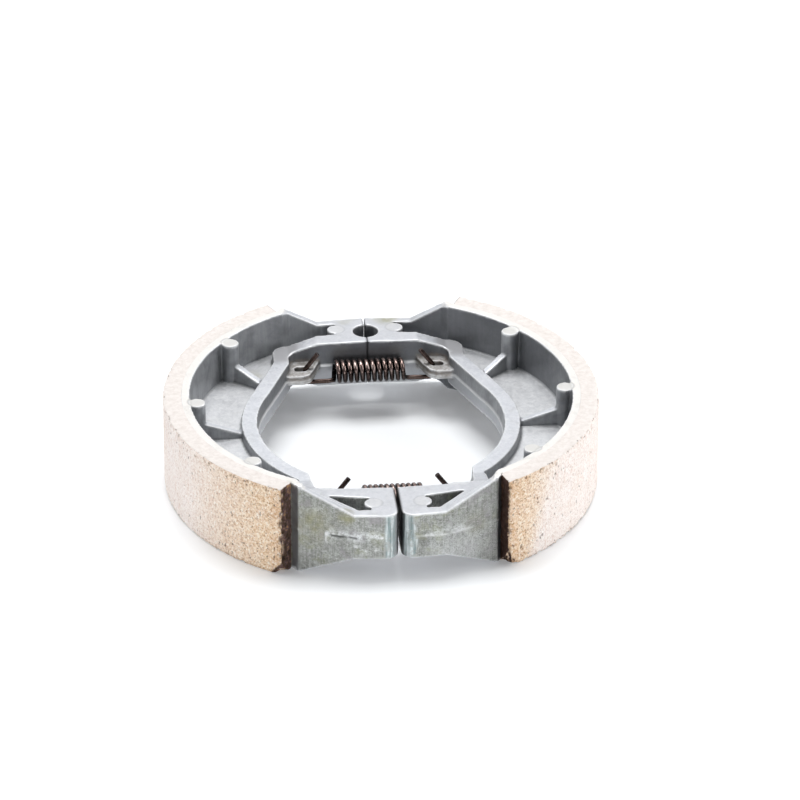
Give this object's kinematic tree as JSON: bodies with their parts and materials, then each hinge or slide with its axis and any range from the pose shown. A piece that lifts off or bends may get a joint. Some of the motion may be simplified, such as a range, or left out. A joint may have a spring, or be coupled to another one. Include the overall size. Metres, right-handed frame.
{
  "type": "drum brake shoe set",
  "caption": "Pair of die-cast drum brake shoes with bonded friction linings, pivoting on a common anchor pin and pulled together by return springs.",
  "frame": {"origin": "on the drum's axis, in the plane of the rim edges that the shoes rest on", "axes": "+Z along the drum's axis, +Y from the drum's axis towards the anchor pin, +X towards the right shoe"},
  "size_m": [0.1088, 0.1014, 0.024],
  "materials": {
    "casting": "as-cast aluminium, dull and lightly scratched",
    "friction_lining": "ground friction compound, matt and speckled",
    "spring_steel": "dark oxidised spring wire"
  },
  "bodies": {
    "left": {"shoe_left": "casting", "lining_left": "friction_lining", "spring_rear": "spring_steel", "spring_front": "spring_steel"},
    "right": {"shoe_right": "casting", "lining_right": "friction_lining"}
  },
  "joints": [
    {"name": "shoe_spread", "type": "hinge", "parent": "left", "child": "right", "pos_m": [0, 0.0431, 0.012], "axis": [0, 0, 1], "range_deg": [0, 3], "stiffness_Nm_per_rad": 4, "springref_deg": -5.73, "deforming": ["spring_rear", "spring_front"]}
  ]
}
